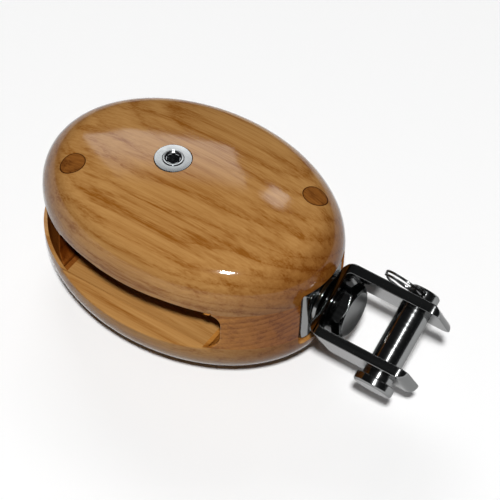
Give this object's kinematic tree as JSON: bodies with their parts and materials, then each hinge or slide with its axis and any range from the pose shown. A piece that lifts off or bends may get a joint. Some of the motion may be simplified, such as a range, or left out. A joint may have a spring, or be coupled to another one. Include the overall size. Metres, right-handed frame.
{
  "type": "wooden swivel block",
  "caption": "Oval wooden rope block with a sheave in its slot, an inner metal strap, and a clevis on a swivel bolt whose pin is kept by a split ring.",
  "frame": {"origin": "middle of the clevis pin, where its axis crosses the swivel's axis", "axes": "+X along the swivel's axis from the shell towards the clevis, +Z square to the cheeks and along the sheave's axle, +Y across the shell"},
  "size_m": [0.1379, 0.075, 0.0562],
  "materials": {
    "shell_wood": "golden ash under gloss varnish",
    "plug_wood": "darker end-grain plugs under gloss varnish",
    "stainless": "polished stainless steel",
    "inner_steel": "plain stainless steel",
    "spring_steel": "drawn stainless wire",
    "acetal": "turned black acetal",
    "bronze": "turned bronze",
    "nylon": "nylon locking ring"
  },
  "bodies": {
    "shell": {"upper_cheek": "shell_wood", "lower_cheek": "shell_wood", "head_block": "shell_wood", "tail_block": "shell_wood", "upper_plugs": "plug_wood", "lower_plugs": "plug_wood", "cheek_screws": "inner_steel", "strap": "stainless", "axle_barrel": "stainless", "axle_screw": "stainless", "thrust_washers": "inner_steel", "swivel_bolt": "stainless", "swivel_nut": "inner_steel", "nut_insert": "nylon", "nut_washer": "inner_steel", "swivel_washer": "stainless"},
    "sheave": {"sheave": "acetal", "sheave_bush": "bronze"},
    "clevis": {"clevis": "stainless"},
    "clevis_pin": {"clevis_pin": "stainless"},
    "split_ring": {"split_ring": "spring_steel"}
  },
  "joints": [
    {"name": "sheave_spin", "type": "hinge", "parent": "shell", "child": "sheave", "pos_m": [-0.0842, 0, 0], "axis": [0, 0, 1], "continuous": true},
    {"name": "clevis_swivel", "type": "hinge", "parent": "shell", "child": "clevis", "pos_m": [-0.0237, 0, 0], "axis": [1, 0, 0], "continuous": true},
    {"name": "pin_slide", "type": "slide", "parent": "clevis", "child": "clevis_pin", "axis": [0, 0.866, 0.5], "range_m": [-0.0003, 0.0022]},
    {"name": "ring_swing", "type": "hinge", "parent": "clevis_pin", "child": "split_ring", "pos_m": [0, 0.01225, 0.00707], "axis": [0, 0.5, -0.866], "range_deg": [-7, 170]}
  ]
}
